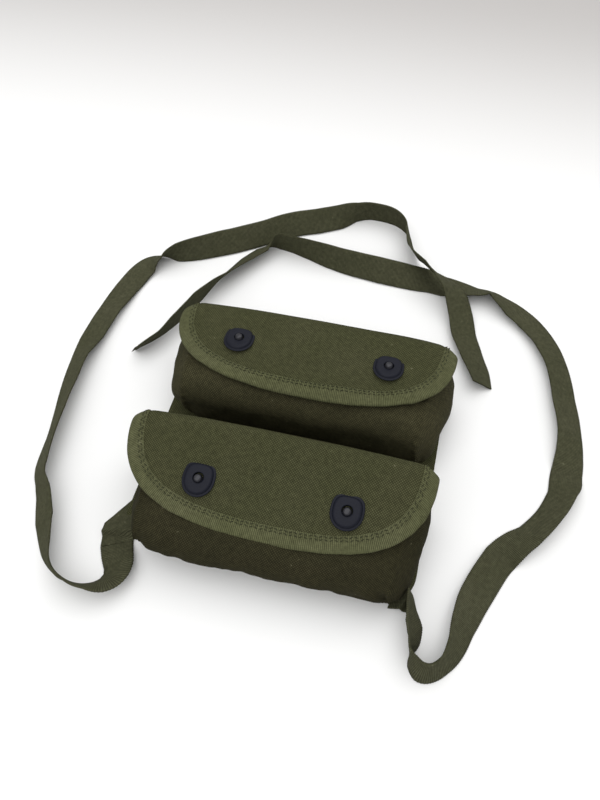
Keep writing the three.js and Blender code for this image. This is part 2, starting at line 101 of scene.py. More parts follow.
def woven(name, colour, faded, pitch, painted_gap_shade=0.4, ribs=0.0, bias=45):
    """Cloth: crossings at a pitch, on the bias in a plain weave, painted shade in the gaps, faded patches,
    slubs and lint.
    """
    material, shader, add, join = nodes_for(name)
    cloth = add("ShaderNodeUVMap", uv_map="cloth")
    threads = add("ShaderNodeMapping")
    threads.inputs["Scale"].default_value = (1 / pitch, 1 / pitch, 1)
    threads.inputs["Rotation"].default_value = (0, 0, math.radians(bias))
    join(cloth.outputs["UV"], threads.inputs["Vector"])
    waves = []
    for direction in ("X", "Y"):
        wave = add("ShaderNodeTexWave", bands_direction=direction)
        wave.inputs["Scale"].default_value = BAND_SCALE
        wave.inputs["Distortion"].default_value = 0.6
        wave.inputs["Detail"].default_value = 2
        wave.inputs["Detail Scale"].default_value = 0.7
        join(threads.outputs["Vector"], wave.inputs["Vector"])
        waves.append(wave)
    ends = add("ShaderNodeMapRange")
    ends.inputs["To Min"].default_value = ribs
    join(waves[0].outputs["Fac"], ends.inputs["Value"])
    weave = add("ShaderNodeMath", operation="MULTIPLY")
    join(ends.outputs["Result"], weave.inputs[0])
    join(waves[1].outputs["Fac"], weave.inputs[1])
    place = add("ShaderNodeTexCoord")
    patch = add("ShaderNodeTexNoise", Scale=PATCH_SCALE, Detail=5, Roughness=0.6)
    slub = add("ShaderNodeTexNoise", Scale=SLUB_SCALE, Detail=4, Roughness=0.7)
    lint = add("ShaderNodeTexNoise", Scale=SLUB_SCALE, Detail=1, Roughness=0.5)
    for texture in (patch, slub, lint):
        join(place.outputs["Object"], texture.inputs["Vector"])
    fade = add("ShaderNodeMapRange")
    fade.inputs["From Min"].default_value = 0.38
    fade.inputs["From Max"].default_value = 0.68
    fade.inputs["To Max"].default_value = MOST_FADED
    join(patch.outputs["Fac"], fade.inputs["Value"])
    base = add("ShaderNodeMix", data_type="RGBA")
    base.inputs["A"].default_value = (*colour, 1)
    base.inputs["B"].default_value = (*faded, 1)
    join(fade.outputs["Result"], base.inputs["Factor"])
    # Painted shade: the weave's gaps are darkened and its crossings lightened, as light falls on the threads
    shade = add("ShaderNodeMapRange")
    shade.inputs["To Min"].default_value = painted_gap_shade
    shade.inputs["To Max"].default_value = 1.25
    join(weave.outputs[0], shade.inputs["Value"])
    mottle = add("ShaderNodeMapRange")
    mottle.inputs["From Min"].default_value = 0.3
    mottle.inputs["From Max"].default_value = 0.7
    mottle.inputs["To Min"].default_value = 0.72
    mottle.inputs["To Max"].default_value = 1.22
    join(slub.outputs["Fac"], mottle.inputs["Value"])
    depth = add("ShaderNodeMath", operation="MULTIPLY")
    join(shade.outputs["Result"], depth.inputs[0])
    join(mottle.outputs["Result"], depth.inputs[1])
    toned = add("ShaderNodeVectorMath", operation="SCALE")
    join(base.outputs["Result"], toned.inputs[0])
    join(depth.outputs[0], toned.inputs["Scale"])
    speck = add("ShaderNodeMapRange")
    speck.inputs["From Min"].default_value = 0.785
    speck.inputs["From Max"].default_value = 0.82
    speck.inputs["To Max"].default_value = 0.4
    join(lint.outputs["Fac"], speck.inputs["Value"])
    final = add("ShaderNodeMix", data_type="RGBA")
    final.inputs["B"].default_value = LINT
    join(speck.outputs["Result"], final.inputs["Factor"])
    join(toned.outputs["Vector"], final.inputs["A"])
    join(final.outputs["Result"], shader.inputs["Base Color"])
    relief = add("ShaderNodeMath", operation="MULTIPLY_ADD")
    relief.inputs[1].default_value = 0.8
    join(slub.outputs["Fac"], relief.inputs[0])
    join(weave.outputs[0], relief.inputs[2])
    bump = add("ShaderNodeBump")
    bump.inputs["Strength"].default_value = CLOTH_RELIEF
    bump.inputs["Distance"].default_value = 0.4 * MM
    join(relief.outputs[0], bump.inputs["Height"])
    join(bump.outputs["Normal"], shader.inputs["Normal"])
    shader.inputs["Roughness"].default_value = 0.92
    shader.inputs["Specular IOR Level"].default_value = 0.05
    return material


def cloth_grid(across, along, place):
    """A grid of cloth, each corner put in place by its share across and along, and mapped in flat metres."""
    mesh = bmesh.new()
    flat = mesh.loops.layers.uv.new("cloth")
    bmesh.ops.create_grid(mesh, x_segments=across, y_segments=along, size=0.5)
    corners = {}
    for corner in mesh.verts:
        u, v = corner.co.x + 0.5, corner.co.y + 0.5
        corners[round(u * across), round(v * along)] = corner
        corner.co = place(u, v)
    middle = across // 2
    down = 0.0
    spread = {}
    for row in range(along + 1):
        if row:
            down += (corners[middle, row].co - corners[middle, row - 1].co).length
        spread[corners[middle, row]] = (0.0, down)
        for step, last in ((-1, 0), (1, across)):
            out = 0.0
            for column in range(middle, last, step):
                out += step * (corners[column + step, row].co - corners[column, row].co).length
                spread[corners[column + step, row]] = (out, down)
    for face in mesh.faces:
        for loop in face.loops:
            loop[flat].uv = spread[loop.vert]
    return mesh


def piece(name, mesh, material, body):
    """A bmesh as an object with a finish. Without a body it is left unattached."""
    bmesh.ops.recalc_face_normals(mesh, faces=mesh.faces)
    data = bpy.data.meshes.new(name)
    mesh.to_mesh(data)
    mesh.free()
    data.materials.append(material)
    for face in data.polygons:
        face.use_smooth = True
    made = bpy.data.objects.new(name, data)
    bpy.context.scene.collection.objects.link(made)
    if body:
        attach(made, body)
    return made


def thicken(made, thickness, offset=-1.0):
    """Gives a sheet its cloth's thickness."""
    wall = made.modifiers.new("thickness", "SOLIDIFY")
    wall.thickness = thickness
    wall.offset = offset
    wall.use_even_offset = False


def face_up(made):
    """Turns a sheet's faces so that most of them look up."""
    total = sum((f.normal.z * f.area for f in made.data.polygons), 0.0)
    if total < 0:
        made.data.flip_normals()


OLIVE = (0.070, 0.0725, 0.0335)
OLIVE_FADED = (0.088, 0.087, 0.045)

panel_low, panel_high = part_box("back_panel")
panel_size = panel_high - panel_low
PANEL_CORNER = 20 * MM


def on_panel(u, v):
    x = panel_low.x + u * panel_size.x
    y = panel_low.y + v * panel_size.y
    centre = Vector((panel_high.x - PANEL_CORNER, panel_low.y + PANEL_CORNER))
    beyond = Vector((abs(x), y)) - centre
    if beyond.x > 0 and beyond.y < 0:
        reach = max(beyond.x, -beyond.y)
        beyond = beyond * (reach / beyond.length)
        x = math.copysign(centre.x + beyond.x, x)
        y = centre.y + beyond.y
    return Vector((x, max(y, panel_low.y + 3 * MM), CANVAS))


panel_cloth = woven("panel_duck", OLIVE, OLIVE_FADED, WEAVE_PITCH)
back_panel = piece("back_panel_cloth", cloth_grid(60, 50, on_panel), panel_cloth, "root")
face_up(back_panel)
thicken(back_panel, CANVAS)
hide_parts("back_panel")

# ---------------------------------------------------------------------------------------------------
# Pockets. Each is bagged out of one front that turns under at the bottom and two side gussets, all of
# darker duck, sewn together down the sides and to the panel. They slump a little between their seams.
# The upper pocket's duck is painted lighter than the lower's, as painted light where the lower flap keeps
# the front lamp off it; the cloth is probably the same.

joint = {j["name"]: j for j in frame["joints"]}
PLY_GAP = 1.0 * MM
SEAM_HEIGHT = 1.9 * MM
MOUTH_SET_BACK = 2 * MM
SIDE_HALF_WIDTH = 86.5 * MM
SIDE_LEAN = 0.18
SIDE_TAPER = 0.12
RUBBED = (1.45, 1.4, 1.42)
BOTTOM_SAG = 5.5 * MM
CORNER_FOLD = 2.4 * MM
# snap and snaps place the fasteners; full is how far each side bulges; risen is the mouth's push back and up;
# duck is the cloth's colour, lighter on the upper pocket as painted light
POCKETS = {
    "lower": {
        "slope": math.radians(13),
        "straight": 50 * MM,
        "bend": 15 * MM,
        "tuck": math.radians(14),
        "reach": 53 * MM,
        "snap": 29.5 * MM,
        "snaps": (-40 * MM, 43 * MM),
        "full": (-3.0 * MM, 4.5 * MM),
        "risen": (8.0 * MM, 7.5 * MM),
        "duck": (0.037, 0.0345, 0.0172),
    },
    "upper": {
        "slope": math.radians(-7),
        "straight": 41 * MM,
        "bend": 16 * MM,
        "tuck": math.radians(10),
        "reach": 50 * MM,
        "snap": 23 * MM,
        "snaps": (-45 * MM, 48 * MM),
        "full": (6.0 * MM, 6.5 * MM),
        "risen": (8.5 * MM, 7.5 * MM),
        "duck": (0.056, 0.0525, 0.0265),
    },
}
for name, pocket in POCKETS.items():
    pocket["fold"] = Vector(joint[name + "_flap_fold"]["pos_m"])
    pocket["turn"] = math.pi / 2 - pocket["slope"] + pocket["tuck"]


def front_line(pocket, length, off):
    """The pocket's face in side view, at a length from the flap's fold: straight, round the bottom, down."""
    slope = pocket["slope"]
    along = Vector((0, -math.cos(slope), -math.sin(slope)))
    out = Vector((0, -math.sin(slope), math.cos(slope)))
    start = pocket["fold"] - out * (PLY_GAP + CANVAS / 2)
    if length <= pocket["straight"]:
        return start + along * length + out * off
    turned = min((length - pocket["straight"]) / pocket["bend"], pocket["turn"])
    rest = length - pocket["straight"] - turned * pocket["bend"]
    centre = start + along * pocket["straight"] - out * pocket["bend"]
    out_now = out * math.cos(turned) + along * math.sin(turned)
    along_now = along * math.cos(turned) - out * math.sin(turned)
    return centre + out_now * (pocket["bend"] + off) + along_now * rest


def front_end(pocket):
    """The length at which the pocket's bottom reaches its seam on the panel."""
    turned = pocket["straight"] + pocket["bend"] * pocket["turn"]
    drop = front_line(pocket, turned, 0).z - SEAM_HEIGHT
    return turned + drop / math.cos(pocket["tuck"])


def risen(pocket, x, length):
    """How far the full pocket pushes its mouth and the flap's fold back and up, but not at its corners."""
    side = abs(x) / SIDE_HALF_WIDTH
    bow = 1 - 0.2 * side**3 - 0.45 * max(0.0, side - 0.86) ** 2 / 0.02 + 0.1 * x / SIDE_HALF_WIDTH
    tall = pocket["fold"].z
    back = (1 + max(length, -tall) / tall) ** 2 if length < 0 else math.exp(-((length / (22 * MM)) ** 2))
    up = back if length < 0 else math.exp(-((length / (26 * MM)) ** 2))
    return Vector((0, pocket["risen"][0] * bow * back, pocket["risen"][1] * bow * up))


def side_at(pocket, y, z):
    """Half the pocket's width at a height above the panel."""
    return SIDE_HALF_WIDTH - SIDE_LEAN * z + SIDE_TAPER * (y - pocket["fold"].y + MOUTH_SET_BACK)


def rounded_section(power, steps):
    """Shares of width and height round a bag's section from its left seam over the front, evenly spaced."""
    fine = []
    for i in range(2001):
        angle = math.pi * (1 - i / 2000)
        wide = math.copysign(abs(math.cos(angle)) ** (2 / power), math.cos(angle))
        fine.append(Vector((wide, math.sin(angle) ** (2 / power))))
    lengths = [0.0]
    for a, b in zip(fine, fine[1:]):
        step = b - a
        lengths.append(lengths[-1] + math.hypot(step.x * 80, step.y * 42))
    shares = []
    at = 0
    for i in range(steps + 1):
        target = lengths[-1] * i / steps
        while at < 1999 and lengths[at + 1] < target:
            at += 1
        part = (target - lengths[at]) / max(lengths[at + 1] - lengths[at], 1e-9)
        shares.append(fine[at].lerp(fine[at + 1], part))
    return shares


BAG_ACROSS = 150
BAG_ALONG = 64
section = rounded_section(7.5, BAG_ACROSS)


def slump(pocket, wide, high, along):
    """How far the soft cloth stands off its cut shape: full sides, a dent in front, and creases."""
    push = 0.4 if pocket["slope"] > 0 else -0.9
    belly = 3.0 * MM * (1 - wide**2) * math.sin(math.pi * min(1, along * 1.15)) * push
    at = Vector((wide * 5, along * 3 + pocket["fold"].y * 40, high * 4))
    creases = 1.6 * MM * noise.noise(at) + 0.7 * MM * noise.noise(at * 2.7)
    sides = 2.2 * MM * math.sin(math.pi * high) if high < 0.93 else 0
    return belly * high**4 + creases + sides


for name, pocket in POCKETS.items():
    end = front_end(pocket)
    mouth = pocket["fold"].y - MOUTH_SET_BACK
    foot = front_line(pocket, end, 0).y

    def on_bag(u, v):
        share = section[round(u * BAG_ACROSS)]
        length = MOUTH_SET_BACK + v * (end - MOUTH_SET_BACK)
        high = share.y
        front = front_line(pocket, length, 0)
        out = front_line(pocket, length, 1) - front
        base = Vector((0, mouth + (foot - mouth) * v, SEAM_HEIGHT))
        spot = base.lerp(front, high)
        loose = slump(pocket, share.x, high, v) * min(1, 6 * v, 5 * (1 - v)) * min(1, 4 * high)
        covered = pocket["reach"] * (1 - min(1, abs(share.x)) ** 2.7) ** 0.37
        if high > 0.9:
            loose = min(loose, 0.2 * MM + 0.35 * max(0, length - covered + 5 * MM))
        spot += out * loose * high**2
        seam = math.exp(-(((abs(share.x) - 0.955) / 0.016) ** 2))
        seam *= min(1, max(0, length - covered) / (6 * MM))
        pucker = 0.9 * MM * seam * math.sin(length / (1.1 * MM)) * min(1, 8 * (1 - v))
        spot += out * (2.5 * MM * seam * high + pucker) * high
        bulge = pocket["full"][share.x > 0]
        full = bulge * math.sin(math.pi * min(1, high * 1.05)) ** 0.8 * min(1, 1.3 - v)
        half = side_at(pocket, spot.y, spot.z) + loose * (1 - high**3)
        spot.x = share.x * (half + 1.5 * MM * math.sin(math.pi * high) + full)
        # The bottom corners are pushed in, and the bottom edge waves
        low = max(0.0, (v - 0.45) / 0.55) ** 2
        corner = abs(share.x) ** 9 * low
        spot.x -= share.x * corner * (7 if share.x < 0 else 3) * MM
        wave = low * 1.5 * MM * noise.noise(Vector((share.x * 4.3, 2, end * 90)))
        spot.y += corner * (9 if share.x < 0 else 4) * MM + wave
        if name == "lower":
            # It sags out over its bottom edge, and folds run in to its right bottom corner
            sag = math.exp(-(((v - 0.72) / 0.22) ** 2)) * (1 - abs(share.x) ** 7) * (0.85 - 0.4 * share.x)
            spot.y -= BOTTOM_SAG * sag * high
            away = Vector((1.15 * (share.x - 1.0), v - 0.93))
            folds = math.sin(10 * math.atan2(away.y, away.x)) * math.exp(-((away.length / 0.34) ** 2))
            spot += out * CORNER_FOLD * folds * min(1, away.length / 0.1) * high
        spot += risen(pocket, spot.x, length - MOUTH_SET_BACK) * high**2
        spot.z = max(spot.z, SEAM_HEIGHT - 0.4 * MM)
        return spot

    # The upper pocket's lighter duck is painted light, not a lighter cloth
    rubbed = [lighter * part for lighter, part in zip(RUBBED, pocket["duck"])]
    pocket_duck_and_painted_light = woven(name + "_pocket_duck", pocket["duck"], rubbed, WEAVE_PITCH)
    cloth = cloth_grid(BAG_ACROSS, BAG_ALONG, on_bag)
    bag = piece(name + "_pocket_bag", cloth, pocket_duck_and_painted_light, "root")
    face_up(bag)
    thicken(bag, CANVAS)
    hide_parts(name + "_pocket_front", name + "_gusset_left", name + "_gusset_right")

# ---------------------------------------------------------------------------------------------------
# Flaps. One sheet each, sewn to the panel behind the mouth, standing up and folded over the front, with
# a rounded edge. A ribbed tape is folded round the edge and held by two rows of stitches.

FLAP_HALF_WIDTH = 88 * MM
FLAP_ROUNDNESS = 2.7
FOLD_SOFTNESS = 8 * MM
BINDING_WIDTH = 9.5 * MM
FLAP_SEAM_Z = joint["lower_flap_seam"]["pos_m"][2]


def flap_line(pocket, length, off):
    """The flap in side view: up the back of the mouth before the fold, along the pocket's front after it."""
    middle = PLY_GAP + CANVAS / 2
    fold = pocket["fold"]
    if length <= -FOLD_SOFTNESS:
        return Vector((0, fold.y + off, fold.z + length))
    if length >= FOLD_SOFTNESS:
        return front_line(pocket, length, middle + off)
    before = Vector((0, fold.y, fold.z - FOLD_SOFTNESS))
    after = front_line(pocket, FOLD_SOFTNESS, middle)
    share = (length + FOLD_SOFTNESS) / (2 * FOLD_SOFTNESS)
    spot = before.lerp(fold, share).lerp(fold.lerp(after, share), share)
    run = (fold - before).lerp(after - fold, share).normalized()
    return spot + Vector((0, run.z, -run.y)) * off


def flap_point(pocket, x, length, off):
    """A place on the flap, so far across and so far past the fold, with the cloth's own unevenness."""
    edge = min(1.0, (abs(x) / FLAP_HALF_WIDTH) ** 3 + max(0.0, length / pocket["reach"]) ** 4)
    seed = pocket["fold"].y * 60
    wave = noise.noise(Vector((x * 26, length * 22, seed)))
    swell = 1.3 * MM * wave + 0.9 * MM * edge * noise.noise(Vector((x * 60, length * 60, seed + 7)))
    front = max(0.0, min(1.0, length / (12 * MM)))
    pulled = 0.0
    nearest = 1.0
    for snap_x in pocket["snaps"]:
        away = math.hypot(x - snap_x, length - pocket["snap"])
        nearest = min(nearest, away)
        pulled += 1.0 * MM * math.exp(-((away / (15 * MM)) ** 2)) * (1 - math.exp(-((away / (9 * MM)) ** 4)))
    droop = 1.2 * MM * (abs(x) / FLAP_HALF_WIDTH) ** 5
    settle = 1 - math.exp(-min((nearest / (11 * MM)) ** 4, 40))
    lift = (max(swell, -0.35 * MM) * (0.35 + 0.65 * front) * settle - pulled * 0.5 - droop * front)
    spot = flap_line(pocket, length, off + lift) + risen(pocket, x, length)
    spot.x = x
    return spot


def flap_edge(pocket, share, inset):
    """The flap's outline in the flat, from its left seam round the front to the right one: x and length."""
    tall = pocket["fold"].z - FLAP_SEAM_Z - 1.2 * MM
    straight = tall / (2 * tall + 3.5 * pocket["reach"] + 0.06)
    if share < straight or share > 1 - straight:
        down = 1 - (share if share < 0.5 else 1 - share) / straight
        return math.copysign(FLAP_HALF_WIDTH - inset, share - 0.5), -tall * down
    angle = math.pi * (share - straight) / (1 - 2 * straight)
    power = 2 / FLAP_ROUNDNESS
    cos, sin = math.cos(angle), max(math.sin(angle), 1e-6)
    x = -FLAP_HALF_WIDTH * math.copysign(abs(cos) ** power, cos)
    length = pocket["reach"] * sin**power
    slope = FLAP_ROUNDNESS - 1
    across = math.copysign((abs(x) / FLAP_HALF_WIDTH) ** slope / FLAP_HALF_WIDTH, x)
    down = (length / pocket["reach"]) ** slope / pocket["reach"]
    size = math.hypot(across, down)
    return x - inset * across / size, length - inset * down / size


def even_shares(pocket, inset, steps):
    """Shares round the outline at even spacing along it."""
    fine = [flap_edge(pocket, i / 3000, inset) for i in range(3001)]
    lengths = [0.0]
    for (ax, al), (bx, bl) in zip(fine, fine[1:]):
        lengths.append(lengths[-1] + math.hypot(bx - ax, bl - al))
    shares = []
    at = 0
    for i in range(steps + 1):
        target = lengths[-1] * i / steps
        while at < 2999 and lengths[at + 1] < target:
            at += 1
        part = (target - lengths[at]) / max(lengths[at + 1] - lengths[at], 1e-9)
        shares.append((at + part) / 3000)
    return shares, lengths[-1]


def stitches(name, row, thickness, material):
    """A row of thread: one small rounded stitch at each place, lying along the row on the cloth."""
    mesh = bmesh.new()
    for spot, run, up, length in row:
        side = up.cross(run).normalized()
        turn = Matrix((run, side, up)).transposed().to_4x4()
        size = Matrix.Diagonal((length / 2, thickness / 2, thickness / 2, 1))
        lie = Matrix.Translation(spot) @ turn @ size
        bmesh.ops.create_uvsphere(mesh, u_segments=6, v_segments=4, radius=1, matrix=lie)
    return piece(name, mesh, material, None)


def plain(name, colour, roughness, metallic=0.0, shine=0.5, grain=300, strength=0.15):
    """A solid finish with a fine grain in its colour and surface."""
    material, shader, add, join = nodes_for(name)
    place = add("ShaderNodeTexCoord")
    speckle = add("ShaderNodeTexNoise", Scale=grain, Detail=4, Roughness=0.6)
    join(place.outputs["Object"], speckle.inputs["Vector"])
    tone = add("ShaderNodeMix", data_type="RGBA")
    tone.inputs["A"].default_value = (*[c * 0.7 for c in colour], 1)
    tone.inputs["B"].default_value = (*[min(1, c * 1.35) for c in colour], 1)
    join(speckle.outputs["Fac"], tone.inputs["Factor"])
    join(tone.outputs["Result"], shader.inputs["Base Color"])
    bump = add("ShaderNodeBump")
    bump.inputs["Strength"].default_value = strength
    bump.inputs["Distance"].default_value = 0.1 * MM
    join(speckle.outputs["Fac"], bump.inputs["Height"])
    join(bump.outputs["Normal"], shader.inputs["Normal"])
    shader.inputs["Roughness"].default_value = roughness
    shader.inputs["Metallic"].default_value = metallic
    shader.inputs["Specular IOR Level"].default_value = shine
    return material


flap_duck = woven("flap_duck", OLIVE, OLIVE_FADED, WEAVE_PITCH)
BINDING_GREEN = (0.086, 0.090, 0.043)
BINDING_FADED = (0.106, 0.107, 0.058)
binding_tape = woven("binding_tape", BINDING_GREEN, BINDING_FADED, 1.05 * MM, painted_gap_shade=0.5, ribs=0.75, bias=0)
thread = plain("sewing_thread", (0.030, 0.032, 0.016), 0.8, shine=0.1)
EDGE_STEPS = 300
STITCH_PITCH = 2.9 * MM
STITCH_LENGTH = 2.2 * MM
STITCH_SLANT = 0.45
THREAD_THICKNESS = 0.62 * MM
# The tape's section, from the cloth's face over the raw edge to its back: insets in metres, heights in
# millimetres
BINDING_PROFILE = [
    (BINDING_WIDTH, 0.6),
    (BINDING_WIDTH - 0.3 * MM, 1.05),
    (BINDING_WIDTH * 0.75, 1.2),
    (BINDING_WIDTH * 0.45, 1.25),
    (1.6 * MM, 1.25),
    (0.7 * MM, 1.1),
    (0.12 * MM, 0.6),
    (0, 0),
    (0.12 * MM, -0.6),
    (0.7 * MM, -0.95),
    (2.5 * MM, -1.0),
    (BINDING_WIDTH, -0.95),
]

for name, pocket in POCKETS.items():
    tall = pocket["fold"].z - FLAP_SEAM_Z - 1.2 * MM
    total = tall + pocket["reach"]

    def on_flap(u, v):
        # Rows crowd towards the front edge, where the outline turns quickly
        length = -tall + v * total
        inside = BINDING_WIDTH * 0.55
        reach = pocket["reach"] - inside
        if length > 0:
            turned = (v * total - tall) / pocket["reach"] * math.pi / 2
            length = reach * max(0.0, math.sin(turned)) ** (2 / FLAP_ROUNDNESS)
            half = (FLAP_HALF_WIDTH - inside) * max(0.0, math.cos(turned)) ** (2 / FLAP_ROUNDNESS)
        else:
            half = FLAP_HALF_WIDTH - inside
        return flap_point(pocket, (2 * u - 1) * max(half, 1e-5), length, CANVAS / 2)

    mesh = cloth_grid(110, 90, on_flap)
    bmesh.ops.remove_doubles(mesh, verts=mesh.verts, dist=0.02 * MM)
    sheet = piece(name + "_flap_cloth", mesh, flap_duck, None)
    face_up(sheet)
    thicken(sheet, CANVAS)
    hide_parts(name + "_flap_top", name + "_flap_front")

    shares, around = even_shares(pocket, 0, EDGE_STEPS)

    def on_binding(u, v):
        inset, off = BINDING_PROFILE[round(u * (len(BINDING_PROFILE) - 1))]
        share = shares[round(v * EDGE_STEPS)]
        at = share * around
        ripple = 0.25 * MM * noise.noise(Vector((at * 90, inset * 200, pocket["fold"].y * 50)))
        x, length = flap_edge(pocket, share, inset + ripple * 1.5)
        return flap_point(pocket, x, length, off * MM + ripple)

    tape = cloth_grid(len(BINDING_PROFILE) - 1, EDGE_STEPS, on_binding)
    edge = piece(name + "_flap_edge_tape", tape, binding_tape, None)
    top = max(edge.data.polygons, key=lambda f: f.center.z)
    if top.normal.z < 0:
        edge.data.flip_normals()
    thicken(edge, 0.35 * MM)
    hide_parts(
        name + "_flap_binding",
        name + "_flap_top_binding_left",
        name + "_flap_top_binding_right",
    )

    # Two rows of stitches near the tape's inner edge, the second half a stitch on
    rows = []
    for inset, shift in ((BINDING_WIDTH - 1.3 * MM, 0), (BINDING_WIDTH - 2.9 * MM, 0.5)):
        count = round(around / STITCH_PITCH)
        places, _ = even_shares(pocket, inset, count * 2)
        for i in range(count - 1):
            middle = min(2 * i + 1 + round(shift), 2 * count - 1)
            spots = [
                flap_point(pocket, *flap_edge(pocket, places[k], inset), 1.38 * MM)
                for k in (middle - 1, middle, middle + 1)
            ]
            slant = STITCH_SLANT if i % 2 else -STITCH_SLANT
            run = (spots[2] - spots[0]).normalized()
            x, length = flap_edge(pocket, places[middle], inset)
            up = (flap_point(pocket, x, length, 2 * MM) - flap_point(pocket, x, length, 1 * MM)).normalized()
            up = (up - run * up.dot(run)).normalized()
            run = Matrix.Rotation(slant, 3, up) @ run
            rows.append((spots[1], run, up, STITCH_LENGTH))
    seam = stitches(name + "_flap_stitches", rows, THREAD_THICKNESS, thread)

    for made in (sheet, edge, seam):
        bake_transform(made)
    middle = [on_flap(0.5, i / 90) for i in range(91)]

# ---------------------------------------------------------------------------------------------------
# Snap fasteners. Blue-black lacquered brass: a shield-shaped socket cap with a rolled flange and a raised
# plate is riveted to the flap, and the bright dome of the stud on the pocket comes up through its hole.

lacquer = plain("blackened_brass", (0.0052, 0.0060, 0.0112), 0.46, shine=0.13, grain=900, strength=0.3)
STUD_BLACK = (0.010, 0.010, 0.014)
stud_polish = plain("stud_polish", STUD_BLACK, 0.28, metallic=0.2, shine=0.45, grain=500, strength=0.03)
CAP_STEPS = 64
# Sections in millimetres: the cap's insets and heights, then the hole's and the stud's radii and heights
CAP_PROFILE = [
    (0.5, 0.25), (0.12, 0.3), (0, 0.5), (0.1, 0.78), (0.4, 0.92), (0.9, 0.95), (1.2, 0.98),
    (1.35, 1.2), (1.5, 1.7), (2.1, 2.15), (2.5, 2.32), (3.2, 2.38), (4.2, 2.38), (5.2, 2.38),
]
HOLE_PROFILE = [(3.7, 2.38), (3.25, 2.36), (3.02, 2.2), (2.95, 1.2), (2.95, 0.3)]
STUD_PROFILE = [
    (0, 4.3), (1.1, 4.26), (1.75, 4.1), (2.1, 3.7), (2.3, 3.0), (2.6, 2.3), (2.7, 1.8), (2.45, 1.2),
    (2.1, 0.6), (2.1, -1.6), (3.3, -1.65), (3.3, -1.9), (1.4, -1.95), (1.4, -4.2), (0, -4.2),
]


def shield_point(angle, inset):
    """The cap's outline, broad and square-shouldered towards the fold and drawn in towards the edge."""
    cos, sin = math.cos(angle), math.sin(angle)
    power = 2 / (3.0 if sin > 0 else 2.05)
    wide = math.copysign(abs(cos) ** power, cos) * (9.25 - inset)
    long = math.copysign(abs(sin) ** power, sin) * (10.0 - inset)
    return wide, long


def on_cap(u, v):
    angle = 2 * math.pi * u
    ring = round(v * (len(CAP_PROFILE) + len(HOLE_PROFILE) - 1))
    if ring < len(CAP_PROFILE):
        inset, height = CAP_PROFILE[ring]
        return Vector((*shield_point(angle, inset), height))
    radius, height = HOLE_PROFILE[ring - len(CAP_PROFILE)]
    return Vector((radius * math.cos(angle), radius * math.sin(angle) + 0.6, height))


for name, pocket in POCKETS.items():
    out = (flap_line(pocket, pocket["snap"], 1) - flap_line(pocket, pocket["snap"], 0)).normalized()
    up = out.cross(Vector((1, 0, 0)))
    for hand, snap_x in zip(("left", "right"), pocket["snaps"]):
        seat = flap_line(pocket, pocket["snap"], CANVAS / 2) + risen(pocket, snap_x, pocket["snap"])
        seat.x = snap_x
        turn = Matrix((Vector((1, 0, 0)), up, out)).transposed().to_4x4()
        place = Matrix.Translation(seat) @ turn @ Matrix.Scale(MM, 4)
        cap = cloth_grid(CAP_STEPS, len(CAP_PROFILE) + len(HOLE_PROFILE) - 1, on_cap)
        bmesh.ops.remove_doubles(cap, verts=cap.verts, dist=0.001)
        bmesh.ops.transform(cap, matrix=place, verts=cap.verts)
        plate = piece(f"{name}_cap_plate_{hand}", cap, lacquer, name + "_flap_front")
        thicken(plate, 0.2 * MM)
        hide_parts(f"{name}_socket_cap_{hand}")

        stud = bmesh.new()
        profile = [stud.verts.new((radius, 0, height)) for radius, height in STUD_PROFILE]
        for a, b in zip(profile, profile[1:]):
            stud.edges.new((a, b))
        bmesh.ops.spin(
            stud,
            geom=stud.verts[:] + stud.edges[:],
            cent=(0, 0, 0),
            axis=(0, 0, 1),
            angle=2 * math.pi,
            steps=40,
            use_merge=True,
        )
        bmesh.ops.remove_doubles(stud, verts=stud.verts, dist=0.001)
        bmesh.ops.transform(stud, matrix=place, verts=stud.verts)
        dome = piece(f"{name}_stud_dome_{hand}", stud, stud_polish, "root")
        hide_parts(f"{name}_stud_{hand}")
        for node in (f"{name}_stud_washer_{hand}", f"{name}_clinch_plate_{hand}"):
            frame["nodes"][node].data.materials.clear()
            frame["nodes"][node].data.materials.append(lacquer)

# ---------------------------------------------------------------------------------------------------
# Belt hook. A dark steel wire bent to two turned-out feet, its crossbar held in a loop of ribbed tape
# that is sewn to the panel's top edge.

WIRE_RADIUS = 1.1 * MM
hook_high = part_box("wire_hanger")[1]
loop_low, loop_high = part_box("hanger_loop")
hook_wire = plain("hook_wire", (0.030, 0.030, 0.031), 0.42, metallic=0.85, grain=500)
leg_x = 27 * MM
bend = 3 * MM
bend_middle = 0.9 * MM
bar_y = joint["hanger_turn"]["pos_m"][1]
foot_y = hook_high.y - WIRE_RADIUS
wire_z = joint["hanger_turn"]["pos_m"][2]
half_wire = [
    (0, bar_y),
    (12 * MM, bar_y),
    (leg_x - bend, bar_y),
    (leg_x - bend_middle, bar_y + bend_middle),
    (leg_x, bar_y + bend),
    (leg_x, foot_y - bend),
    (leg_x + bend_middle, foot_y - bend_middle),
    (leg_x + bend, foot_y),
    (hook_high.x, foot_y),
]
line = [(-x, y) for x, y in reversed(half_wire[1:])] + half_wire
bends = bpy.data.curves.new("wire_hook", "CURVE")
bends.dimensions = "3D"
bends.bevel_depth = WIRE_RADIUS
bends.bevel_resolution = 5
bends.use_fill_caps = True
strand = bends.splines.new("POLY")
strand.points.add(len(line) - 1)
for point, (x, y) in zip(strand.points, line):
    point.co = (x, y, wire_z, 1)
hook_curve = bpy.data.objects.new("wire_hook", bends)
bpy.context.scene.collection.objects.link(hook_curve)
solid = bpy.data.meshes.new_from_object(hook_curve.evaluated_get(bpy.context.evaluated_depsgraph_get()))
bpy.data.objects.remove(hook_curve)
wire_mesh = bmesh.new()
wire_mesh.from_mesh(solid)
bmesh.ops.remove_doubles(wire_mesh, verts=wire_mesh.verts, dist=0.005 * MM)
hook = piece("wire_hook", wire_mesh, hook_wire, "hanger")
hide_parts("wire_hanger")

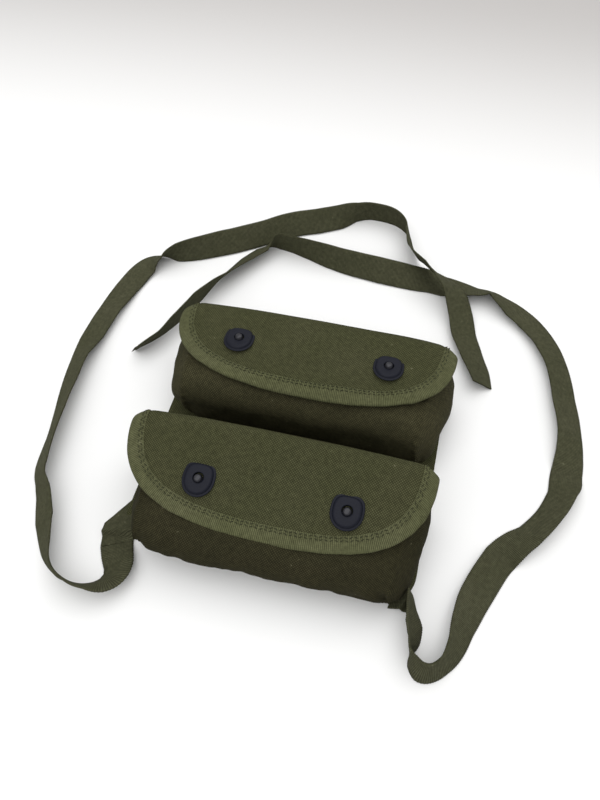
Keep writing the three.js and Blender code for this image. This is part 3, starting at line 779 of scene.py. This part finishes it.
loop_tape = woven("loop_tape", BINDING_GREEN, BINDING_FADED, 1.05 * MM, painted_gap_shade=0.5, ribs=0.75, bias=0)
loop_wall = 0.5 * MM
loop_radius = (loop_high.z - loop_low.z) / 2 - loop_wall / 2


def on_loop(u, v):
    x = loop_low.x + v * (loop_high.x - loop_low.x)
    side = 2 * u - 1
    if abs(side) > 0.5:
        back = (abs(side) - 0.5) / 0.5
        y = bar_y + (loop_low.y - bar_y) * back
        z = wire_z + math.copysign(loop_radius * (1 - 0.75 * back**2 * (side > 0)), side)
        return Vector((x, y, z))
    angle = math.pi * side
    return Vector((x, bar_y + loop_radius * math.cos(angle), wire_z + loop_radius * math.sin(angle)))


loop = piece("hanger_tape", cloth_grid(32, 30, on_loop), loop_tape, "root")
thicken(loop, loop_wall, 0)
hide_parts("hanger_loop")

# ---------------------------------------------------------------------------------------------------
# Ties. Two long flat cotton tapes, limp and creased from being knotted, each sewn to a lower corner.
# They lie where they fell: standing on an edge, leaning over, twisting, and crossing once.

TAPE_WIDTH = 19 * MM
TAPE_THICKNESS = 0.9 * MM
TAPE_REST = 0.6 * MM
# x, y, lean and lift, in millimetres and degrees, as the tapes' flat solids lie
LEFT_TIE = [
    (-86.5, -80.5, 0, 0), (-83.5, -86.5, 6, 0), (-79.5, -93.5, 20, 0), (-79, -101, 33, 0), (-83, -107, 45, 0),
    (-90, -110, 64, 0), (-98, -111, 74, 0), (-107, -109, 84, 0), (-114, -105, 98, 0), (-122, -96, 118, 0),
    (-132, -78, 136, 0), (-139, -64, 130, 0), (-145, -55, 122, 0), (-149, -45, 128, 0), (-152, -24, 123, 0),
    (-155, -4, 128, 0), (-158, 16, 138, 0), (-160, 37, 143, 0), (-160, 58, 162, 0), (-158, 84, 164, 0),
    (-153, 114, 176, 0), (-147, 131, 172, 0), (-138, 139, 138, 0), (-126, 143.5, 92, 0), (-112, 152, 68, 0),
    (-90, 167, 48, 0), (-70, 180, 50, 0), (-50, 195, 47, 0), (-31, 204, 47, 0), (-15, 211, 62, 0),
    (-3, 218, 90, 0), (8, 222, 97, 0), (22, 221, 97, 0), (31.5, 217, 100, 0), (38.5, 209, 104, 0),
    (41.5, 199.5, 110, 0), (45.5, 188, 120, 1), (51.5, 177, 120, 6), (60, 168, 120, 8), (71, 159.5, 138, 9),
    (81, 151, 157, 9), (88, 138, 165, 4), (93, 122, 163, 0), (100, 105, 157, 0), (106, 92, 151, 0),
    (110, 80, 140, 0),
]
RIGHT_TIE = [
    (85.8, -71, 104, 0), (87.2, -78.5, 112, 0), (90, -87, 123, 0), (91, -95, 114, 0),
    (90, -102, 97, 0), (92, -107, 82, 0),
    (97, -111, 73, 0), (103, -110, 72, 0), (109, -104, 68, 0), (114, -93, 55, 0), (117, -78, 37, 0),
    (122, -61, 18, 0), (132, -38, 8, 0), (140, -27, -18, 0), (149, -18, -38, 0), (158, -4, -42, 0),
    (165, 12, -40, 0), (168, 26, -5, 0), (169, 42, 18, 0), (168, 58, 26, 0), (164, 80, 25, 0),
    (158, 107, 23, 0), (149, 128, 20, 0), (137, 143, 14, 0), (125, 152, 18, 0), (115, 158, 32, 0),
    (107, 162, 44, 0), (97, 162, 32, 0), (86, 164, 15, 0), (73, 166, 0, 0), (62, 166.5, -14, 0),
    (50, 165.5, -24, 0), (28, 164.5, -44, 0), (-4, 165.5, -64, 0), (-29, 169.5, -84, 0), (-44, 172, -96, 0),
    (-54, 173, -98, 0), (-60, 171, -118, 0), (-66, 164.5, -142, 0), (-74, 153, -141, 0), (-83, 136, -129, 0),
    (-91, 119, -112, 0), (-99, 101, -100, 0), (-107, 80, -105, 0), (-114, 66, -117, 0), (-124, 53, -123, 0),
]
TAPE_GREEN = (0.065, 0.066, 0.037)
TAPE_FADED = (0.086, 0.085, 0.052)
TIE_ROWS = 1100
TIE_COLUMNS = 10
tie_tape = woven("tie_tape", TAPE_GREEN, TAPE_FADED, 0.95 * MM, painted_gap_shade=0.5, ribs=0.5, bias=0)


def tie_line(route, steps):
    """The tie's middle, its direction across and its lean at even steps along the route."""
    knots = [Vector((x, y, lift)) * MM for x, y, _, lift in route]
    leans = [math.radians(lean) for _, _, lean, _ in route]
    knots = [2 * knots[0] - knots[1]] + knots + [2 * knots[-1] - knots[-2]]
    fine = []
    for k in range(len(route) - 1):
        a, b, c, d = knots[k : k + 4]
        for i in range(40):
            t = i / 40
            square = (2 * a - 5 * b + 4 * c - d) * t**2
            cube = (3 * b - a - 3 * c + d) * t**3
            spot = 0.5 * (2 * b + (c - a) * t + square + cube)
            fine.append((spot, leans[k] + (leans[k + 1] - leans[k]) * t))
    fine.append((knots[-2], leans[-1]))
    for spot, lean in fine:
        spot.z = TAPE_REST + TAPE_WIDTH / 2 * abs(math.sin(lean)) + max(0, spot.z)
    lengths = [0.0]
    for (a, _), (b, _) in zip(fine, fine[1:]):
        lengths.append(lengths[-1] + (b - a).length)
    line = []
    at = 0
    for i in range(steps + 1):
        target = lengths[-1] * i / steps
        while at < len(fine) - 2 and lengths[at + 1] < target:
            at += 1
        part = (target - lengths[at]) / max(lengths[at + 1] - lengths[at], 1e-9)
        run = (fine[at + 1][0] - fine[at][0]).normalized()
        left = Vector((-run.y, run.x, 0)).normalized()
        lean = fine[at][1] * (1 - part) + fine[at + 1][1] * part
        across = left * math.cos(lean) + Vector((0, 0, math.sin(lean)))
        line.append((fine[at][0].lerp(fine[at + 1][0], part), across, run, target))
    return line, lengths[-1]


# Corners of the sewn ends, in millimetres: the tape's start, then the edge that goes under the pouch
SEWN_ENDS = {
    "left": ((-95.2, -84.4), (-77.5, -76.5), (-98.5, -70.0), (-87.0, -50.0)),
    "right": ((89.3, -79.5), (87.0, -69.5), (75.0, -79.6), (76.0, -70.0)),
}
for name, route, sewn_end in (("left", LEFT_TIE, "tie_end_left"), ("right", RIGHT_TIE, "tie_end_right")):
    line, tie_length = tie_line(route, TIE_ROWS)
    start_low, start_high, end_low, end_high = [Vector((*c, 0)) * MM for c in SEWN_ENDS[name]]

    def on_sewn_end(u, v):
        spot = start_low.lerp(end_low, v).lerp(start_high.lerp(end_high, v), u)
        # Folded back on itself along a slant: steep below the fold, a lit slope behind it
        past = v - 0.55 + 0.4 * u
        crest = math.exp(-((past / 0.06) ** 2)) if past < 0 else max(0.0, 1 - past / 0.5)
        spot.z = (0.65 + 6.0 * crest * (1 - v) ** 0.5 + 0.3 * noise.noise(spot * 180)) * MM
        return spot

    patch = piece("tie_sewn_end_" + name, cloth_grid(16, 16, on_sewn_end), tie_tape, "root")
    face_up(patch)
    thicken(patch, TAPE_THICKNESS / 2, 0)
    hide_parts(sewn_end)

    def on_tie(u, v):
        row = round(v * TIE_ROWS)
        spot, across, run, at = line[row]
        side = 2 * u - 1
        face = run.cross(across).normalized()
        # Selvedges are toothed by the weft, and the tape is cupped and cockled a little
        tooth = 0.22 * MM * (1 if row % 2 else -1) * abs(side) ** 12
        cockle = 0.5 * MM * noise.noise(Vector((at * 70, side * 0.8, route[0][0])))
        cockle += 0.3 * MM * side**2 * noise.noise(Vector((at * 30, 5, 2)))
        uneven = 1 + 0.03 * noise.noise(Vector((at * 60, 9, 3)))
        out = side * TAPE_WIDTH / 2 * uneven + math.copysign(1, side) * tooth
        placed = spot + across * out + face * cockle
        placed.z = max(placed.z, TAPE_THICKNESS / 2 + 0.05 * MM)
        return placed

    tie = piece("tie_tape_" + name, cloth_grid(TIE_COLUMNS, TIE_ROWS, on_tie), tie_tape, "root")
    thicken(tie, TAPE_THICKNESS, 0)
    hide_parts("tie_" + name)
    if name == "right":
        # Its cut end is frayed
        spot, across, run, _ = line[-1]
        face = run.cross(across).normalized()
        strands = []
        for k in range(-6, 7, 2):
            root = spot + across * k * 1.3 * MM + run * 1.2 * MM
            lie = (run + across * 0.35 * math.sin(k * 2.4)).normalized()
            strands.append((root, lie, face, 5 * MM))
        frayed = stitches("tie_frayed_end", strands, 0.4 * MM, tie_tape)
        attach(frayed, "root")

# ---------------------------------------------------------------------------------------------------
# The pouch lies on a white table, painted darker towards the back as painted shade, under a large soft light.

table_mesh = bmesh.new()
bmesh.ops.create_grid(table_mesh, x_segments=1, y_segments=1, size=4)
table_data = bpy.data.meshes.new("table")
table_mesh.to_mesh(table_data)
table_mesh.free()
table = bpy.data.objects.new("table", table_data)
table.location.z = -0.05 * MM
bpy.context.scene.collection.objects.link(table)
white, shader, add, join = nodes_for("white_table")
spot = add("ShaderNodeTexCoord")
depth = add("ShaderNodeSeparateXYZ")
join(spot.outputs["Object"], depth.inputs[0])
# Painted shade: the table's colour darkens towards the back in place of the shade on a sweep curving up away
# from the light
painted_shade_to_back = add("ShaderNodeMapRange", interpolation_type="SMOOTHSTEP")
painted_shade_to_back.inputs["From Min"].default_value = 0.18
painted_shade_to_back.inputs["From Max"].default_value = 0.62
join(depth.outputs["Y"], painted_shade_to_back.inputs["Value"])
table_and_painted_shade = add("ShaderNodeMix", data_type="RGBA")
table_and_painted_shade.inputs["A"].default_value = (0.78, 0.78, 0.775, 1)
table_and_painted_shade.inputs["B"].default_value = (0.42, 0.405, 0.395, 1)
join(painted_shade_to_back.outputs["Result"], table_and_painted_shade.inputs["Factor"])
join(table_and_painted_shade.outputs["Result"], shader.inputs["Base Color"])
shader.inputs["Roughness"].default_value = 0.9
shader.inputs["Specular IOR Level"].default_value = 0.1
table_data.materials.append(white)

world = bpy.data.worlds.new("studio")
world.use_nodes = True
world.node_tree.nodes["Background"].inputs["Color"].default_value = (1, 1, 1, 1)
world.node_tree.nodes["Background"].inputs["Strength"].default_value = 0.86
bpy.context.scene.world = world

for name, place, size, power in (
    ("key", (0.15, 0.5, 1.25), 1.3, 8.0),
    ("fill", (-0.3, -0.6, 1.35), 1.4, 9.5),
):
    lamp = bpy.data.lights.new(name, "AREA")
    lamp.size = size
    lamp.energy = power
    light = bpy.data.objects.new(name, lamp)
    light.location = place
    light.rotation_euler = (-Vector(place)).to_track_quat("-Z", "Y").to_euler()
    bpy.context.scene.collection.objects.link(light)

YAW = math.radians(-14.35)
PITCH = math.radians(57.2)
ROLL = math.radians(-0.45)
forward = Vector((math.sin(YAW) * math.cos(PITCH), math.cos(YAW) * math.cos(PITCH), -math.sin(PITCH)))
lens = bpy.data.cameras.new("camera")
lens.sensor_width = 36
lens.lens = 31.68
camera = bpy.data.objects.new("camera", lens)
camera.location = (57 * MM, -203 * MM, 395 * MM)
turn = forward.to_track_quat("-Z", "Y") @ Matrix.Rotation(ROLL, 3, "Z").to_quaternion()
camera.rotation_euler = turn.to_euler()
bpy.context.scene.collection.objects.link(camera)
bpy.context.scene.camera = camera
bpy.context.scene.view_settings.view_transform = "Standard"
